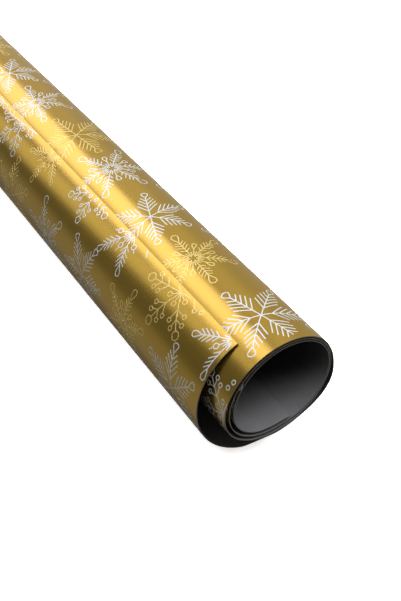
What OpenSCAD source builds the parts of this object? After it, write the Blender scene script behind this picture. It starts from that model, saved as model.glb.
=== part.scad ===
// A loosely rolled sheet of printed, self-adhesive sign vinyl, lying on its side.
// The sheet has three layers: a face film outside, an adhesive coat, and a release liner inside.
// It has no core. It is wound about three and a half turns: one loose outer turn and a tighter
// group of turns inside it. The roll's axis is along Y and +Z is up.
// The sheet is followed by its winding angle, in degrees, which is 0 at the free outer edge and
// grows towards the free inner edge.

/* [Sheet] */
// Width of the sheet, which is the length of the roll
sheet_w = 305; // [150:1:620]
// Thickness of the printed face film
film_t = 0.14; // [0.08:0.01:0.3]
// Thickness of the adhesive coat
adhesive_t = 0.04; // [0.03:0.01:0.08]
// Thickness of the release liner
liner_t = 0.18; // [0.1:0.01:0.3]

/* [Outer turn] */
// Diameter of the loose outer turn
roll_d = 52; // [48:0.5:80]
// Height lost where the sheet flattens on the surface it lies on
sag = 0.8; // [0.4:0.1:1.5]
// Radius of the bend at each side of the flattened strip
sag_bend_r = 13; // [8:0.5:16]
// Distance from the tight turns' end back to the outer turn's end, along the roll
set_back = 10.7; // [0:0.1:20]
// Direction of the free outer edge, seen along +Y and measured from +X
edge_angle = 114; // [100:1:125]

/* [Tight turns] */
// Larger width of the group of tight turns
tight_w = 44.4; // [30:0.1:45]
// Smaller width of the group of tight turns
tight_h = 36.8; // [30:0.1:42]
// Direction of the larger width, measured from +X
tight_tilt = 33; // [20:1:45]
// Mean air gap between one turn and the next
turn_gap = 0.94; // [0.8:0.02:1.1]
// How much wider the air gap is at the loose side, and narrower at the other
gap_swing = 0.6; // [0:0.05:0.65]
// Whole winding angle of the sheet, from its outer edge to its inner edge
winding = 1269; // [1100:1:1400]

/* [Lifting edge] */
// Winding angle of each strip that stands for the bending end of the sheet
strip_angle = 16; // [12:1:17]
// Gap between strips that move, as a winding angle
strip_gap = 0.2; // [0.1:0.05:0.4]

/* [Hidden] */
roll_r = roll_d / 2;
sheet_t = film_t + adhesive_t + liner_t;
roll_mid_z = roll_r - sag;
end_y = -(sheet_w + set_back) / 2;
turn = 360;
bottom = 270;
strips = 6;
step_angle = 6;
slope_step = 0.5;
side_out = 0.3;
top_out = 0.4;
push_ease = 0.3;

// Winding angles where the outer turn leaves its round shape, where it meets the tight group,
// where its end starts to come back level with the tight group's end, and where it is level.
leave_angle = bottom - edge_angle + 44;
meet_angle = turn - 15;
shift_angle = bottom - edge_angle;
level_angle = turn - 45;

// The bends beside the flattened strip: where their centres are, from the roll's centre.
bend_out = roll_r - sag_bend_r;
flat_half = sqrt(2 * bend_out * sag - sag * sag);
bend_angle = atan2(flat_half, bend_out - sag);
flat_angle = atan2(flat_half, roll_r - sag);
flat_from = bottom - edge_angle - flat_angle;
flat_to = bottom - edge_angle + flat_angle;

// The tight group presses out into the outer turn a little, and leaves most of a turn's pitch.
pitch_mid = sheet_t + turn_gap;
tight_a = tight_w / 2;
tight_b = tight_h / 2;
tight_p = roll_r - pitch_mid + gap_swing + side_out - tight_a;
tight_q = roll_r - pitch_mid + top_out - tight_b;

// A share from 0 to 1 that starts and ends with no slope and no bend.
function ease(x) =
  let (u = min(max(x, 0), 1))
  u * u * u * (u * (6 * u - 15) + 10);

// Radius of the outer turn in a direction, round but for the strip it lies on.
function loose_r(dir) =
  let (off = abs((dir + 90) % turn - turn * floor(((dir + 90) % turn) / 180)))
  off <= flat_angle ? (roll_r - sag) / cos(off)
  : off < bend_angle
    ? bend_out * cos(off - bend_angle)
      + sqrt(pow(sag_bend_r, 2) - pow(bend_out * sin(off - bend_angle), 2))
  : roll_r;

// Radius of the tight group's oval in a direction, from the outer turn's centre.
function oval_r(dir) =
  let (
    c = cos(dir - tight_tilt),
    s = sin(dir - tight_tilt),
    k2 = pow(c / tight_a, 2) + pow(s / tight_b, 2),
    k1 = tight_p * c / pow(tight_a, 2) + tight_q * s / pow(tight_b, 2),
    k0 = pow(tight_p / tight_a, 2) + pow(tight_q / tight_b, 2) - 1
  )
  (k1 + sqrt(k1 * k1 - k2 * k0)) / k2;

// From the middle of one turn to the middle of the next, in a direction.
function pitch(dir) = pitch_mid - gap_swing * cos(dir - tight_tilt);

// Radius of the spiral of tight turns at a winding angle.
function tight_r(wind) =
  let (dir = edge_angle + wind)
  oval_r(dir) - pitch(dir) * (wind - turn) / turn;

// Radius of the outer turn where the tight group may reach past its round shape: it's pushed out
// by as much, and eases into that.
function pushed_r(wind) =
  let (round = loose_r(edge_angle + wind), past = max(tight_r(wind) - round, 0))
  round + past * past / (past + push_ease);

// Radius of the film's outer face at a winding angle.
function sheet_r(wind) =
  let (share = ease((wind - leave_angle) / (meet_angle - leave_angle)))
  share == 0 ? loose_r(edge_angle + wind)
  : share * tight_r(wind) + (1 - share) * pushed_r(wind);

// The roll's right side is a little flatter than its left, so its centre is moved to stand the
// whole roll evenly about the origin.
right_reach = max([for (wind = [leave_angle : turn]) sheet_r(wind) * cos(edge_angle + wind)]);
roll_mid_x = (roll_r - right_reach) / 2;

// The point of the film's outer face at a winding angle, as [x, z].
function face_point(wind) =
  let (dir = edge_angle + wind, r = sheet_r(wind))
  [roll_mid_x + r * cos(dir), roll_mid_z + r * sin(dir)];

// The point at a depth under the film's outer face.
function layer_point(wind, depth) =
  let (
    along = face_point(wind + slope_step) - face_point(wind - slope_step),
    inward = [-along[1], along[0]] / norm(along)
  )
  face_point(wind) + depth * inward;

// How far the sheet's end is set back along the roll at a winding angle.
function end_shift(wind) =
  set_back * (1 - ease((wind - shift_angle) / (level_angle - shift_angle)));

// Winding angles of the cross-sections between two angles. The flattened strip is one face.
function even_sections(from, to) =
  let (n = ceil((to - from) / step_angle))
  [for (i = [0 : n]) from + (to - from) * i / n];
function sections(from, to) =
  from < flat_from && to > flat_to
    ? concat(even_sections(from, flat_from), even_sections(flat_to, to))
    : even_sections(from, to);

// One layer of the sheet between two winding angles and two depths: at each cross-section
// four corners, near-end outer, near-end inner, far-end inner and far-end outer.
module layer(from, to, depth, thick) {
  winds = sections(from, to);
  last = len(winds) - 1;
  corners = [
    for (w = winds)
      let (
        outer = layer_point(w, depth),
        inner = layer_point(w, depth + thick),
        near = end_y + end_shift(w),
        far = near + sheet_w
      )
      each [
        [outer[0], near, outer[1]],
        [inner[0], near, inner[1]],
        [inner[0], far, inner[1]],
        [outer[0], far, outer[1]]
      ]
  ];
  sides = [
    for (i = [0 : last - 1], k = [0 : 3])
      let (a = 4 * i + k, b = 4 * i + (k + 1) % 4)
      each [[a, b, b + 4], [a, b + 4, a + 4]]
  ];
  caps = [[3, 2, 1, 0], [for (k = [0 : 3]) 4 * last + k]];
  polyhedron(points = corners, faces = concat(sides, caps), convexity = 8);
}

module film(from, to) {
  color("goldenrod") layer(from, to, 0, film_t);
}

module adhesive(from, to) {
  color("gainsboro") layer(from, to, film_t, adhesive_t);
}

module liner(from, to) {
  color("dimgray") layer(from, to, film_t + adhesive_t, liner_t);
}

// Winding angles at which each strip of the lifting edge ends. Strip 1 joins the outer turn.
function strip_from(k) = k == strips ? 0 : (strips - k) * strip_angle + strip_gap / 2;
function strip_to(k) = (strips - k + 1) * strip_angle - strip_gap / 2;

// Winding angles at which each turn ends.
function turn_from(k) = k == 1 ? strips * strip_angle + strip_gap / 2 : (k - 1) * turn + strip_gap / 2;
function turn_to(k) = k == 4 ? winding : k * turn - strip_gap / 2;

film(turn_from(1), turn_to(1));  // film_turn_1
adhesive(turn_from(1), turn_to(1));  // adhesive_turn_1
liner(turn_from(1), turn_to(1));  // liner_turn_1
film(turn_from(2), turn_to(2));  // film_turn_2
adhesive(turn_from(2), turn_to(2));  // adhesive_turn_2
liner(turn_from(2), turn_to(2));  // liner_turn_2
film(turn_from(3), turn_to(3));  // film_turn_3
adhesive(turn_from(3), turn_to(3));  // adhesive_turn_3
liner(turn_from(3), turn_to(3));  // liner_turn_3
film(turn_from(4), turn_to(4));  // film_turn_4
adhesive(turn_from(4), turn_to(4));  // adhesive_turn_4
liner(turn_from(4), turn_to(4));  // liner_turn_4
film(strip_from(1), strip_to(1));  // film_flap_1
adhesive(strip_from(1), strip_to(1));  // adhesive_flap_1
liner(strip_from(1), strip_to(1));  // liner_flap_1
film(strip_from(2), strip_to(2));  // film_flap_2
adhesive(strip_from(2), strip_to(2));  // adhesive_flap_2
liner(strip_from(2), strip_to(2));  // liner_flap_2
film(strip_from(3), strip_to(3));  // film_flap_3
adhesive(strip_from(3), strip_to(3));  // adhesive_flap_3
liner(strip_from(3), strip_to(3));  // liner_flap_3
film(strip_from(4), strip_to(4));  // film_flap_4
adhesive(strip_from(4), strip_to(4));  // adhesive_flap_4
liner(strip_from(4), strip_to(4));  // liner_flap_4
film(strip_from(5), strip_to(5));  // film_flap_5
adhesive(strip_from(5), strip_to(5));  // adhesive_flap_5
liner(strip_from(5), strip_to(5));  // liner_flap_5
film(strip_from(6), strip_to(6));  // film_flap_6
adhesive(strip_from(6), strip_to(6));  // adhesive_flap_6
liner(strip_from(6), strip_to(6));  // liner_flap_6
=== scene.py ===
import math

import bpy
import numpy as np
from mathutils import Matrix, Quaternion, Vector


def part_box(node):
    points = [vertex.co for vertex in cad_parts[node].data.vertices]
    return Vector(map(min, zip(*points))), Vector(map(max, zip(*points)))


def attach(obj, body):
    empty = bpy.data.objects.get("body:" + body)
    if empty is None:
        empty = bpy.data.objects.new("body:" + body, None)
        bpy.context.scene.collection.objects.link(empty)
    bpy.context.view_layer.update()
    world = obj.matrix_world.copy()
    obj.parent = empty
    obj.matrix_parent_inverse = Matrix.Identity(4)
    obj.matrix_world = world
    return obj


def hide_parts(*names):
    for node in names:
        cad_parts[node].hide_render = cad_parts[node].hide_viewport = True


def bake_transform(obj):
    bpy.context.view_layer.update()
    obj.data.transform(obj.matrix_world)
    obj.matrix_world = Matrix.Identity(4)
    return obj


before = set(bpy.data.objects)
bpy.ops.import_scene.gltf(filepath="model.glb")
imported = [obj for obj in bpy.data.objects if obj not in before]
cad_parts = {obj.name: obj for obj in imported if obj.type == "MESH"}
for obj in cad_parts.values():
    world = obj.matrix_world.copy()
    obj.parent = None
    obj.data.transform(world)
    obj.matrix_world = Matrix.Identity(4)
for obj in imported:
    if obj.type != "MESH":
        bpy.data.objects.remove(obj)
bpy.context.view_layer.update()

# ---------------------------------------------------------------------------------------------
# The shape of the winding. One sheet lies on its side, wound about three and a half turns with
# no core. It is followed by its winding angle, in degrees, from its free outer edge inwards.
# The sizes and formulas are the same as the solids', in metres.
# ---------------------------------------------------------------------------------------------

TURN = 360.0
BOTTOM = 270.0
STRIPS = 6
STRIP_ANGLE = 16.0

tight_low, tight_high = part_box("film_turn_2")
outer_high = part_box("film_turn_1")[1]
SHEET_W = tight_high.y - tight_low.y
END_Y = tight_low.y
SET_BACK = outer_high.y - tight_high.y

ROLL_R = 0.026
SAG = 0.0008
SAG_BEND_R = 0.013
EDGE_ANGLE = 114.0
TIGHT_A = 0.0222
TIGHT_B = 0.0184
TIGHT_TILT = 33.0
FILM_T = 0.00014
ADHESIVE_T = 0.00004
LINER_T = 0.00018
TURN_GAP = 0.00094
GAP_SWING = 0.0006
SIDE_OUT = 0.0003
TOP_OUT = 0.0004
PUSH_EASE = 0.0003
WINDING = 1269.0
LEAVE_AFTER_BOTTOM = 44.0
MEET_BEFORE_TURN = 15.0
LEVEL_BEFORE_TURN = 45.0
SLOPE_STEP = 0.5
LENGTH_STEP = 0.5
LEAST_COS = 0.5

# The outer turn leaves its round shape at one angle and meets the tight group at the next. Its
# near end starts to come back to the tight group's end at the third, and is level at the fourth.
LEAVE_ANGLE = BOTTOM - EDGE_ANGLE + LEAVE_AFTER_BOTTOM
MEET_ANGLE = TURN - MEET_BEFORE_TURN
SHIFT_ANGLE = BOTTOM - EDGE_ANGLE
LEVEL_ANGLE = TURN - LEVEL_BEFORE_TURN
PITCH = FILM_T + ADHESIVE_T + LINER_T + TURN_GAP
TIGHT_P = ROLL_R - PITCH + GAP_SWING + SIDE_OUT - TIGHT_A
TIGHT_Q = ROLL_R - PITCH + TOP_OUT - TIGHT_B
BEND_OUT = ROLL_R - SAG_BEND_R
FLAT_HALF = math.sqrt(2 * BEND_OUT * SAG - SAG * SAG)
BEND_ANGLE = math.degrees(math.atan2(FLAT_HALF, BEND_OUT - SAG))
FLAT_ANGLE = math.degrees(math.atan2(FLAT_HALF, ROLL_R - SAG))


def cos(angle):
    """Cosine of an angle in degrees."""
    return np.cos(np.radians(angle))


def sin(angle):
    """Sine of an angle in degrees."""
    return np.sin(np.radians(angle))


def ease(x):
    """6x^5 - 15x^4 + 10x^3 on 0 to 1: a share that starts and ends with no slope and no bend."""
    u = np.clip(x, 0, 1)
    return u**3 * (u * (6 * u - 15) + 10)


def loose_r(way):
    """Radius of the outer turn in a direction: a circle, flat under the roll, with two bends."""
    off = np.abs((way - BOTTOM + TURN / 2) % TURN - TURN / 2)
    inside = SAG_BEND_R**2 - (BEND_OUT * sin(off - BEND_ANGLE)) ** 2
    bend = BEND_OUT * cos(off - BEND_ANGLE) + np.sqrt(np.maximum(inside, 0))
    flat = (ROLL_R - SAG) / np.maximum(cos(off), LEAST_COS)
    return np.where(off <= FLAT_ANGLE, flat, np.where(off < BEND_ANGLE, bend, ROLL_R))


def oval_r(way):
    """Distance to the tight group's oval along a direction: the root of its quadratic."""
    c, s = cos(way - TIGHT_TILT), sin(way - TIGHT_TILT)
    k2 = (c / TIGHT_A) ** 2 + (s / TIGHT_B) ** 2
    k1 = TIGHT_P * c / TIGHT_A**2 + TIGHT_Q * s / TIGHT_B**2
    k0 = (TIGHT_P / TIGHT_A) ** 2 + (TIGHT_Q / TIGHT_B) ** 2 - 1
    return (k1 + np.sqrt(k1 * k1 - k2 * k0)) / k2


def sheet_r(wind):
    """Radius of the film's face: the outer turn's, easing into the tight spiral's. Where the
    tight group reaches past the outer turn's round shape, it pushes the turn out."""
    way = EDGE_ANGLE + wind
    pitch = PITCH - GAP_SWING * cos(way - TIGHT_TILT)
    tight = oval_r(way) - pitch * (wind - TURN) / TURN
    share = ease((wind - LEAVE_ANGLE) / (MEET_ANGLE - LEAVE_ANGLE))
    loose = loose_r(way)
    past = np.where(share > 0, np.maximum(tight - loose, 0), 0)
    return share * tight + (1 - share) * (loose + past**2 / (past + PUSH_EASE))


right_side = np.arange(LEAVE_ANGLE, TURN + 1)
RIGHT_REACH = np.max(sheet_r(right_side) * cos(EDGE_ANGLE + right_side))
MID_X = (ROLL_R - RIGHT_REACH) / 2
MID_Z = ROLL_R - SAG


def face_xz(wind):
    """The film's face in the cross-section: the radius turned to the winding angle."""
    r, way = sheet_r(wind), EDGE_ANGLE + wind
    return np.stack([MID_X + r * cos(way), MID_Z + r * sin(way)], -1)


def sheet_points(wind, across, depth):
    """Points of the sheet: across from its near end, and at a depth under the film's face."""
    along = face_xz(wind + SLOPE_STEP) - face_xz(wind - SLOPE_STEP)
    along /= np.linalg.norm(along, axis=-1, keepdims=True)
    inward = np.stack([-along[..., 1], along[..., 0]], -1)
    xz = face_xz(wind) + np.asarray(depth)[..., None] * inward
    shift = SET_BACK * (1 - ease((wind - SHIFT_ANGLE) / (LEVEL_ANGLE - SHIFT_ANGLE)))
    y = END_Y + shift + across
    return np.stack([xz[..., 0], y + 0 * xz[..., 0], xz[..., 1]], -1)


fine_winds = np.arange(0, WINDING + LENGTH_STEP, LENGTH_STEP)
fine_steps = np.linalg.norm(np.diff(face_xz(fine_winds), axis=0), axis=1)
fine_lengths = np.concatenate([[0], np.cumsum(fine_steps)])


def length_at(wind):
    """Length of the sheet from its outer edge to a winding angle."""
    return np.interp(wind, fine_winds, fine_lengths)


def lowest(first, last):
    """The winding angle at which a stretch of the sheet is lowest."""
    winds = np.arange(first, last)
    return float(winds[np.argmin(face_xz(winds)[:, 1])])


# ---------------------------------------------------------------------------------------------
# The stretches of the sheet, each with the body or the two bodies that it lies between. A stretch
# with one body follows it: the lifting end's free edge its outermost strip, and each turn's left
# side its own turn. The bends at the strips' hinges, and each turn's right side, which rises from
# its lowest point to the top, follow no body and stay where they are made.
# ---------------------------------------------------------------------------------------------

stretches = [("edge", 0.0, STRIP_ANGLE / 2, ("flap_6",))]
for strip in range(STRIPS, 0, -1):
    hinge = (STRIPS + 1 - strip) * STRIP_ANGLE
    below = f"flap_{strip - 1}" if strip > 1 else "turn_1"
    bend = (hinge - STRIP_ANGLE / 2, hinge + STRIP_ANGLE / 2)
    stretches.append((f"bend_{strip}", *bend, (below, f"flap_{strip}")))
turn_start = STRIPS * STRIP_ANGLE + STRIP_ANGLE / 2
for turn in (1, 2, 3):
    low = SHIFT_ANGLE if turn == 1 else lowest((turn - 1) * TURN, turn * TURN)
    stretches.append((f"side_{turn}", turn_start, low, (f"turn_{turn}",)))
    rise = (f"turn_{turn}", f"turn_{turn + 1}")
    stretches.append((f"rise_{turn}", low, turn * TURN, rise))
    turn_start = turn * TURN
stretches.append(("side_4", turn_start, WINDING, ("turn_4",)))


def follow(piece, first, last, bodies):
    """Makes a piece of the stretch follow its body. A piece between two bodies neither bends nor
    shears: its placing is only baked into its mesh.
    """
    if len(bodies) == 1:
        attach(piece, bodies[0])
        return
    low, high = face_xz(np.array([last, first]))
    if bodies[1].startswith("turn"):
        low, high = face_xz(np.array([first, last]))
        low[0] = high[0] = 0.0
        high[1] -= FILM_T + ADHESIVE_T + LINER_T
    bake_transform(piece)


# ---------------------------------------------------------------------------------------------
# Camera and soft studio light. A long softbox over the far end of the roll and a weaker one at
# its left give the film its bright band, and dim surroundings its dark band. Two more, in front
# and above, are plain fill. The floor is pale and glows a little, with a pale backdrop round it.
# ---------------------------------------------------------------------------------------------

VIEW_TURN = 30.2
VIEW_DOWN = 37.5
LENS = 60.3
SENSOR_W = 36
NEAREST_SEEN = 0.01

# Where the centre of the near end lies from the camera: to the right, down and away.
END_RIGHT, END_DOWN, END_AWAY = (v * ROLL_R for v in (0.8086, 1.1297, 13.132))

scene = bpy.context.scene
level = cos(VIEW_DOWN)
forward = Vector((sin(VIEW_TURN) * level, cos(VIEW_TURN) * level, -sin(VIEW_DOWN)))
rightward = Vector((cos(VIEW_TURN), -sin(VIEW_TURN), 0))
downward = forward.cross(rightward)
near_ring = Vector((MID_X, END_Y + SET_BACK, MID_Z))
camera_place = near_ring - END_RIGHT * rightward - END_DOWN * downward - END_AWAY * forward

camera = bpy.data.objects.new("camera", bpy.data.cameras.new("camera"))
camera.data.lens = LENS
camera.data.sensor_width = SENSOR_W
camera.data.clip_start = NEAREST_SEEN
camera.location = camera_place
camera.rotation_euler = forward.to_track_quat("-Z", "Y").to_euler()
scene.collection.objects.link(camera)
scene.camera = camera


def softbox(name, place, size, power, tint, turn=0.0, mirrored=True):
    """A soft rectangular lamp at a place. It faces the roll, and is turned about that line. One
    that isn't mirrored leaves no reflection of itself in glossy faces."""
    lamp = bpy.data.lights.new(name, "AREA")
    lamp.shape = "RECTANGLE"
    lamp.size, lamp.size_y = size
    lamp.energy = power
    lamp.color = tint
    holder = bpy.data.objects.new(name, lamp)
    holder.location = place
    facing = (near_ring - Vector(place)).to_track_quat("-Z", "Y")
    turning = Quaternion((0, 0, 1), math.radians(turn))
    holder.rotation_euler = (facing @ turning).to_euler()
    holder.visible_glossy = mirrored
    scene.collection.objects.link(holder)


softbox("key_softbox", (-0.17, 0.92, 0.85), (0.46, 1.0), 2.3, (1, 0.95, 1.15), -22)
softbox("wing_softbox", (-0.62, 0.9, 0.62), (0.34, 0.9), 0.6, (1, 0.97, 0.92), -22)
softbox("front_softbox", (0.5, -0.8, 2.0), (1.4, 1.0), 95, (1, 1, 1))
softbox("top_softbox", (-0.3, 0.0, 1.8), (2.6, 2.6), 75, (1, 1, 1), mirrored=False)


class Wire:
    """The value at a shader socket. Arithmetic on it makes Math nodes."""

    def __init__(self, tree, socket):
        self.tree, self.socket = tree, socket

    def node(self, kind, inputs, out=0, **settings):
        """Makes a node in the same tree, sets it, feeds it, and gives one of its outputs."""
        made = self.tree.nodes.new(kind)
        for name, value in settings.items():
            setattr(made, name, value)
        for name, value in inputs.items():
            feed(made.inputs[name], value)
        return Wire(self.tree, made.outputs[out])

    def math(self, operation, first, second):
        return self.node("ShaderNodeMath", {0: first, 1: second}, operation=operation)

    def __add__(self, other):
        return self.math("ADD", self, other)

    def __sub__(self, other):
        return self.math("SUBTRACT", self, other)

    def __rsub__(self, other):
        return self.math("SUBTRACT", other, self)

    def __mul__(self, other):
        return self.math("MULTIPLY", self, other)

    __radd__ = __add__
    __rmul__ = __mul__


def feed(socket, value):
    """Links a wire to a socket, or sets the socket to a number, a vector or a colour."""
    if isinstance(value, Wire):
        value.tree.links.new(value.socket, socket)
    elif socket.type == "RGBA":
        socket.default_value = (*value, 1)
    else:
        socket.default_value = value


def first_node(owner, kind, out, **settings):
    """Turns on an owner's nodes and makes one that nothing feeds, for a pattern to start from."""
    owner.use_nodes = True
    return Wire(owner.node_tree, None).node(kind, {}, out, **settings)


def shade(owner, shader, **inputs):
    """Sets or feeds the named inputs of an owner's shader."""
    for name, value in inputs.items():
        title = name.replace("_", " ").title().replace("Ior", "IOR")
        feed(owner.node_tree.nodes[shader].inputs[title], value)


def smooth_range(value, low, high, start=0.0, end=1.0):
    """A smooth step: start below low, end above high."""
    inputs = {"Value": value, "From Min": low, "From Max": high, "To Min": start, "To Max": end}
    return value.node("ShaderNodeMapRange", inputs, interpolation_type="SMOOTHSTEP")


def mix(share, low, high):
    """Goes from the low colour to the high one as the share goes from 0 to 1."""
    inputs = {"Factor": share, 6: low, 7: high}
    return share.node("ShaderNodeMix", inputs, out=2, data_type="RGBA")


DIM_ROOM = 0.11
RIGHT_WALL = 0.41
FAR_RIGHT_LOSS = 0.13
LEFT_TABLE = 0.12
FLOOR_SIZE = 13
FLOOR_DROP = 0.0002
FLOOR_GLOW = 0.65
BACKDROP_R = 7

world = bpy.data.worlds.new("dim_studio")
direction = first_node(world, "ShaderNodeTexCoord", "Generated")
to_right = direction.node("ShaderNodeSeparateXYZ", {"Vector": direction}, out=0)
upwards = direction.node("ShaderNodeSeparateXYZ", {"Vector": direction}, out=2)
right_wall = smooth_range(to_right, -0.05, 0.2) * smooth_range(upwards, -0.68, -0.45)
far_right = smooth_range(to_right, 0.4, 0.62)
left_table = smooth_range(upwards, -0.02, -0.25) * smooth_range(to_right, -0.1, -0.4)
radiance = DIM_ROOM + right_wall * RIGHT_WALL - far_right * FAR_RIGHT_LOSS + left_table * LEFT_TABLE
shade(world, "Background", color=mix(radiance, (0, 0, 0), (1, 0.98, 0.95)))
scene.world = world
scene.view_settings.view_transform = "Standard"

bpy.ops.mesh.primitive_plane_add(size=FLOOR_SIZE, location=(0, 0, -FLOOR_DROP))
floor = bpy.context.object
floor.name = "floor"
floor.visible_glossy = False
floor.visible_diffuse = False
floor_paint = bpy.data.materials.new("pale_floor")
floor_paint.use_nodes = True
shade(floor_paint, "Principled BSDF", base_color=(0.9, 0.9, 0.9), roughness=0.9)
shade(floor_paint, "Principled BSDF", emission_color=(1, 1, 1), emission_strength=FLOOR_GLOW)
floor.data.materials.append(floor_paint)

bpy.ops.mesh.primitive_uv_sphere_add(segments=48, ring_count=24, radius=BACKDROP_R)
backdrop = bpy.context.object
backdrop.name = "backdrop"
backdrop_paint = bpy.data.materials.new("pale_backdrop")
backdrop_paint.use_nodes = True
shade(backdrop_paint, "Principled BSDF", base_color=(0, 0, 0), emission_strength=1.0)
shade(backdrop_paint, "Principled BSDF", emission_color=(1, 1, 1))
backdrop.data.materials.append(backdrop_paint)
for unseen in ("glossy", "diffuse", "shadow"):
    setattr(backdrop, f"visible_{unseen}", False)

# ---------------------------------------------------------------------------------------------
# Face film. Thin gold metallised vinyl, on the outside of every turn. It is calendered, so it
# has faint streaks along the roll and a fine grain, and its brightness wanders a little.
# ---------------------------------------------------------------------------------------------

WIND_STEP = 1.5
ACROSS_STEPS = 24
FLAT_UNIT = 0.6
CREASE_ANGLE = 40


def flat_place(paint):
    """Turns on a paint's nodes and gives the place on the flat sheet, in shares of FLAT_UNIT."""
    return first_node(paint, "ShaderNodeUVMap", "UV", uv_map="flat")


def noise(where, scale, detail=3.0):
    """Soft random values from 0 to 1."""
    inputs = {"Vector": where, "Scale": scale, "Detail": detail, "Roughness": 0.6}
    return where.node("ShaderNodeTexNoise", inputs)


def stretched(where, *scales):
    """The same place with each axis scaled by itself."""
    return where.node("ShaderNodeMapping", {"Vector": where, "Scale": scales})


def bump(height, distance):
    """A surface direction that follows small heights."""
    return height.node("ShaderNodeBump", {"Height": height, "Distance": distance})


def as_mesh(name, points, faces, flat=None):
    """A mesh object from an array of points and an array of four-cornered faces."""
    mesh = bpy.data.meshes.new(name)
    mesh.vertices.add(len(points))
    mesh.vertices.foreach_set("co", points.astype(np.float32).ravel())
    mesh.loops.add(faces.size)
    mesh.loops.foreach_set("vertex_index", faces.astype(np.int32).ravel())
    mesh.polygons.add(len(faces))
    mesh.polygons.foreach_set("loop_start", np.arange(0, faces.size, 4, dtype=np.int32))
    mesh.update(calc_edges=True)
    mesh.validate()
    if flat is not None:
        layer = mesh.uv_layers.new(name="flat")
        layer.data.foreach_set("uv", flat[faces.ravel()].astype(np.float32).ravel())
    mesh.shade_smooth()
    mesh.set_sharp_from_angle(angle=math.radians(CREASE_ANGLE))
    piece = bpy.data.objects.new(name, mesh)
    scene.collection.objects.link(piece)
    return piece


def layer_piece(name, first, last, depth, thick):
    """One layer of a stretch, closed: a grid of winding angles by places across the sheet, at
    two depths, joined by a rim all round."""
    rows = max(2, math.ceil((last - first) / WIND_STEP) + 1)
    cols = ACROSS_STEPS + 1
    winds, across = np.meshgrid(
        np.linspace(first, last, rows), np.linspace(0, SHEET_W, cols), indexing="ij"
    )
    outer = sheet_points(winds, across, np.full(winds.shape, depth))
    inner = sheet_points(winds, across, np.full(winds.shape, depth + thick))
    points = np.concatenate([outer.reshape(-1, 3), inner.reshape(-1, 3)])
    flat = np.stack([length_at(winds), across], -1).reshape(-1, 2) / FLAT_UNIT
    flat = np.concatenate([flat, flat])
    index = np.arange(rows * cols).reshape(rows, cols)
    corners = (index[:-1, :-1], index[1:, :-1], index[1:, 1:], index[:-1, 1:])
    top = np.stack(corners, -1).reshape(-1, 4)
    under = top[:, ::-1] + rows * cols
    rim = np.concatenate([index[:-1, 0], index[-1, :-1], index[:0:-1, -1], index[0, :0:-1]])
    ahead = np.roll(rim, -1)
    edge = np.stack([ahead, rim, rim + rows * cols, ahead + rows * cols], -1)
    piece = as_mesh(name, points, np.concatenate([top, under, edge]), flat)
    cut = np.arange(len(piece.data.polygons)) >= len(top)
    return piece, cut


def lay(layer, depth, thick, paint, cut_paint=None):
    """Makes one layer of the whole sheet, stretch by stretch, in place of its CAD solids. The
    cut edges and the back may have a paint of their own."""
    pieces = []
    for label, first, last, bodies in stretches:
        piece, cut = layer_piece(f"{layer}_{label}", first, last, depth, thick)
        piece.data.materials.append(paint)
        if cut_paint:
            piece.data.materials.append(cut_paint)
            piece.data.polygons.foreach_set("material_index", cut.astype(np.int32))
        follow(piece, first, last, bodies)
        if not label.startswith("rise"):
            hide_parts(f"{layer}_{bodies[-1]}")
        pieces.append(piece)
    return pieces


def gold_paint():
    """Metallised gold film: streaks along the roll, a fine grain and a slow change of tone."""
    paint = bpy.data.materials.new("gold_film")
    flat = flat_place(paint)
    slow = noise(flat, 9.0)
    streak = noise(stretched(flat, 420.0, 5.0, 1.0), 1.0)
    grain = noise(flat, 1500.0, 2.0)
    tone = mix(slow, (0.73, 0.465, 0.080), (0.85, 0.575, 0.115))
    rough = 0.2 + slow * 0.05 + streak * 0.04 + grain * 0.01
    normal = bump(grain * 0.1 + streak * 0.9, 0.000004)
    shade(paint, "Principled BSDF", base_color=tone, metallic=1.0, roughness=rough, normal=normal)
    return paint


def film_edge_paint():
    """The vinyl itself, dull grey, which shows where the film is cut."""
    paint = bpy.data.materials.new("film_edge")
    tone = mix(noise(flat_place(paint), 200.0), (0.025, 0.023, 0.02), (0.045, 0.042, 0.036))
    shade(paint, "Principled BSDF", base_color=tone, roughness=0.5)
    return paint


film_pieces = lay("film", 0.0, FILM_T, gold_paint(), film_edge_paint())

# ---------------------------------------------------------------------------------------------
# Adhesive coat. A thin cloudy tacky layer between the film and the liner, which shows only as a
# fine line in the sheet's cut edges.
# ---------------------------------------------------------------------------------------------


def adhesive_paint():
    """Cloudy acrylic adhesive."""
    paint = bpy.data.materials.new("adhesive")
    cloud = noise(flat_place(paint), 300.0)
    tone = mix(cloud, (0.07, 0.067, 0.06), (0.12, 0.117, 0.11))
    shade(paint, "Principled BSDF", base_color=tone, roughness=0.45)
    return paint


adhesive_pieces = lay("adhesive", FILM_T, ADHESIVE_T, adhesive_paint())

# ---------------------------------------------------------------------------------------------
# Release liner. Black paper with a satin silicone coat, on the inside of every turn. It shows
# down the hollow of the roll and as the black line of each turn's end.
# ---------------------------------------------------------------------------------------------


def liner_paint():
    """Satin black release paper: a soft fibre texture under a thin smooth coat."""
    paint = bpy.data.materials.new("black_liner")
    flat = flat_place(paint)
    fibre = noise(stretched(flat, 260.0, 180.0, 1.0), 1.0)
    slow = noise(flat, 14.0)
    tone = mix(fibre, (0.046, 0.046, 0.048), (0.066, 0.066, 0.069))
    rough = 0.36 + slow * 0.12
    coat = 0.15 + slow * 0.1
    shade(paint, "Principled BSDF", base_color=tone, roughness=rough, coat_weight=coat)
    shade(paint, "Principled BSDF", coat_roughness=0.3, normal=bump(fibre, 0.00004))
    return paint


liner_pieces = lay("liner", FILM_T + ADHESIVE_T, LINER_T, liner_paint())

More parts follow.
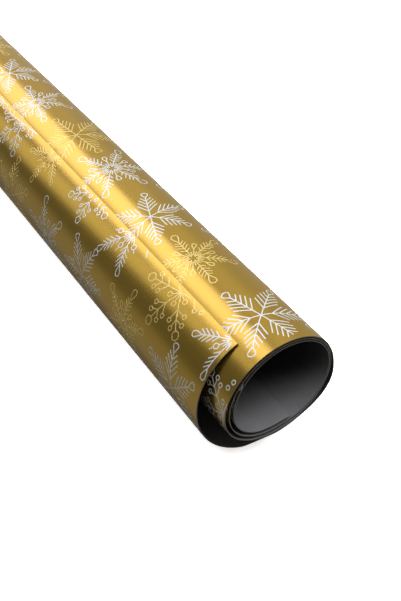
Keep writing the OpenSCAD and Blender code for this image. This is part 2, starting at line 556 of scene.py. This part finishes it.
# ---------------------------------------------------------------------------------------------
# Snowflake print. Two inks lie on the film's face in thin lines: six-armed flakes of four plain
# kinds, silver and pale gold, in staggered rows over the whole sheet. A flake's strokes are in
# shares of its radius, and its arm points along its own x.
# ---------------------------------------------------------------------------------------------

INK_TOP = 0.000007
INK_FOOT = 0.000003
LINE_HALF = 0.00021
LINE_POINTS = 7
LOOP_POINTS = 13
ROW_GAP = 0.0305
FLAKE_GAP = 0.0355
FLAKE_R = 0.0172
SIZE_SWING = 0.08
DRIFT = 0.002
FLAKE_TURN = 17.0
ARMS = 6
SHEET_LENGTH = fine_lengths[-1]


def line(x0, y0, x1, y1):
    """A straight stroke: points spread evenly from one end to the other."""
    t = np.linspace(0, 1, LINE_POINTS)[:, None]
    return (1 - t) * np.array([x0, y0]) + t * np.array([x1, y1])


def drop(start, end, half):
    """A teardrop loop along the arm: its half-width goes as sin t times (1 - cos t) / 2."""
    t = np.linspace(0, 2 * np.pi, LOOP_POINTS)
    swell = (1 - np.cos(t)) / 2
    return np.stack([start + (end - start) * swell, 1.5 * half * np.sin(t) * swell], -1)


def ring(x, y, r):
    """A small round loop."""
    t = np.linspace(0, 2 * np.pi, LOOP_POINTS)
    return np.stack([x + r * np.cos(t), y + r * np.sin(t)], -1)


def twigs(places, reaches, lean):
    """Pairs of side strokes that lean outwards from the arm, one pair at each place."""
    made = []
    for place, reach in zip(places, reaches):
        for side in (-1, 1):
            made.append(line(place, 0, place + reach * cos(lean), side * reach * sin(lean)))
    return made


def stem(places):
    """The arm's own line, as one stroke from each place to the next."""
    return [line(a, 0, b, 0) for a, b in zip(places[:-1], places[1:])]


def turned(strokes, angle):
    """The same strokes turned about the flake's centre."""
    c, s = cos(angle), sin(angle)
    return [stroke @ np.array([[c, s], [-s, c]]) for stroke in strokes]


def flake(arm, between, rays=0):
    """Six arms, six smaller motifs halfway between them, and a burst of short rays."""
    made = []
    for k in range(ARMS):
        made += turned(arm, k * TURN / ARMS) + turned(between, (k + 0.5) * TURN / ARMS)
    for k in range(rays):
        made += turned([line(0.1, 0, 0.25, 0)], TURN * (k + 0.5) / rays)
    return made


def star_flake():
    """A full flake: teardrop tips, four pairs of twigs, and beads between the arms."""
    arm = stem((0.06, 0.3, 0.52, 0.73)) + [drop(0.73, 1.0, 0.07)]
    arm += twigs((0.33, 0.44, 0.55, 0.66), (0.17, 0.21, 0.21, 0.18), 42)
    return flake(arm, stem((0.1, 0.32)) + [ring(0.38, 0, 0.06), line(0.46, 0, 0.54, 0)], 12)


def fern_flake():
    """An open flake: long leaning twigs, like a fern, and oval tips."""
    arm = stem((0.0, 0.28, 0.54, 0.8)) + [drop(0.78, 1.0, 0.085)]
    arm += twigs((0.22, 0.36, 0.5, 0.64), (0.36, 0.33, 0.27, 0.2), 40)
    return flake(arm, [])


def bead_flake():
    """A light flake: thin arms with beads at the tips of the arms and of the twigs."""
    arm = stem((0.0, 0.28, 0.54, 0.78)) + [ring(0.87, 0, 0.09)]
    arm += twigs((0.36, 0.56), (0.2, 0.15), 46)
    for place, reach in ((0.36, 0.25), (0.56, 0.2)):
        arm += [ring(place + reach * cos(46), side * reach * sin(46), 0.046) for side in (-1, 1)]
    return flake(arm, stem((0.04, 0.2)) + [ring(0.25, 0, 0.05)])


def burst_flake():
    """A dense flake: teardrop tips, steep twigs and a burst of rays."""
    arm = stem((0.06, 0.28, 0.48, 0.68)) + [drop(0.68, 1.0, 0.085)]
    arm += twigs((0.3, 0.41, 0.52, 0.62), (0.14, 0.18, 0.18, 0.14), 50)
    return flake(arm, stem((0.12, 0.32)) + [drop(0.32, 0.54, 0.055)], 12)


FLAKES = [star_flake(), fern_flake(), bead_flake(), burst_flake()]


def flake_places(silver):
    """Centre along and across the sheet, size, turn and kind of each flake of one ink. The rows
    are staggered by half a gap, and two slow waves move each flake a little off its row."""
    places = []
    rows = math.ceil(SHEET_LENGTH / ROW_GAP) + 1
    for row in range(rows):
        for col in range(-1, math.ceil(SHEET_W / FLAKE_GAP) + 1):
            number = 3 * row + col
            if (number % 3 != 1) != silver:
                continue
            along = row * ROW_GAP + DRIFT * math.sin(2.3 * row + 1.7 * col)
            across = (col + 0.5 * (row % 2)) * FLAKE_GAP + DRIFT * math.cos(1.9 * row + 2.9 * col)
            size = FLAKE_R * (1 + SIZE_SWING * math.sin(3.1 * row + 1.3 * col))
            kind = (row + 2 * col) % len(FLAKES)
            places.append((along, across, size, FLAKE_TURN * number, kind))
    return places


def ink_strokes(silver):
    """All strokes of one ink in the flat sheet, as arrays of points grouped by their number."""
    grouped = {LINE_POINTS: [], LOOP_POINTS: []}
    for along, across, size, angle, kind in flake_places(silver):
        for stroke in turned(FLAKES[kind], angle):
            grouped[len(stroke)].append(stroke * size + np.array([along, across]))
    made = []
    for strokes in grouped.values():
        strokes = np.array(strokes)
        low, high = strokes.min(1) - LINE_HALF, strokes.max(1) + LINE_HALF
        inside = (low > 0).all(1) & (high[:, 0] < SHEET_LENGTH) & (high[:, 1] < SHEET_W)
        made.append(strokes[inside])
    return made


def ink_mesh(strokes):
    """Each stroke as a flat closed bar on the film: four corners at each of its points."""
    ahead = np.diff(strokes, axis=1)
    looped = np.allclose(strokes[:, 0], strokes[:, -1])
    ends = (ahead[:, -1:], ahead[:, :1]) if looped else (ahead[:, :1], ahead[:, -1:])
    ahead = np.concatenate([ends[0], ahead], 1) + np.concatenate([ahead, ends[1]], 1)
    ahead /= np.linalg.norm(ahead, axis=-1, keepdims=True)
    side = LINE_HALF * np.stack([-ahead[..., 1], ahead[..., 0]], -1)
    left, right = strokes + side, strokes - side
    corners = np.stack([left, right, right, left], 2)
    depth = np.array([-INK_TOP, -INK_TOP, INK_FOOT, INK_FOOT]) + 0 * corners[..., 0]
    winds = np.interp(corners[..., 0], fine_lengths, fine_winds)
    points = sheet_points(winds, corners[..., 1], depth)
    count, steps = strokes.shape[:2]
    index = np.arange(count * steps * 4).reshape(count, steps, 4)
    around = np.roll(index, -1, axis=2)
    sides = np.stack([index[:, :-1], around[:, :-1], around[:, 1:], index[:, 1:]], -1)
    faces = [sides.reshape(-1, 4)]
    if not looped:
        faces += [index[:, 0, ::-1], index[:, -1]]
    return points.reshape(-1, 3), np.concatenate(faces)


def print_ink(name, silver, paint):
    """Prints one ink on every stretch: a stroke belongs to the stretch that its middle is on."""
    groups = ink_strokes(silver)
    for label, first, last, bodies in stretches:
        points, faces, offset = [], [], 0
        for strokes in groups:
            middle = strokes[..., 0].mean(1)
            here = strokes[(middle >= length_at(first)) & (middle < length_at(last))]
            if len(here) == 0:
                continue
            some_points, some_faces = ink_mesh(here)
            points.append(some_points)
            faces.append(some_faces + offset)
            offset += len(some_points)
        if offset == 0:
            continue
        piece = as_mesh(f"{name}_{label}", np.concatenate(points), np.concatenate(faces))
        piece.data.materials.append(paint)
        follow(piece, first, last, bodies)


def ink_paint(name, thin, full, metallic):
    """Metallic ink: thicker and thinner patches, and a fine sparkle."""
    paint = bpy.data.materials.new(name)
    where = first_node(paint, "ShaderNodeTexCoord", "Object")
    sparkle = noise(where, 4000.0, 1.0)
    tone = mix(noise(where, 160.0), thin, full)
    rough = 0.3 + sparkle * 0.2
    shade(paint, "Principled BSDF", base_color=tone, metallic=metallic, roughness=rough)
    return paint


silver_ink = ink_paint("silver_print", (0.57, 0.60, 0.62), (0.69, 0.72, 0.74), 0.8)
print_ink("silver_print", True, silver_ink)

pale_ink = ink_paint("pale_gold_print", (0.90, 0.69, 0.24), (1.0, 0.80, 0.32), 0.93)
print_ink("pale_gold_print", False, pale_ink)

# ---------------------------------------------------------------------------------------------
# The flat length of each stretch of each layer is worked out, piece by piece, and nothing is kept
# of it. A strip shorter than 10 mm is entered as 10 mm long with its own area.
# ---------------------------------------------------------------------------------------------


def enter_sheets(pieces, under):
    """Works out the flat length of each of a layer's pieces and keeps nothing. The pieces under
    them are not used.
    """
    for piece, rest, (_, first, last, _) in zip(pieces, under, stretches):
        length = float(length_at(last) - length_at(first))


enter_sheets(film_pieces, adhesive_pieces)
enter_sheets(adhesive_pieces, liner_pieces)
under_liner = [None] * len(stretches)
labels = [stretch[0] for stretch in stretches]
for turn in (2, 3, 4):
    under_liner[labels.index(f"side_{turn}")] = liner_pieces[labels.index(f"side_{turn - 1}")]
enter_sheets(liner_pieces, under_liner)

bpy.context.view_layer.update()
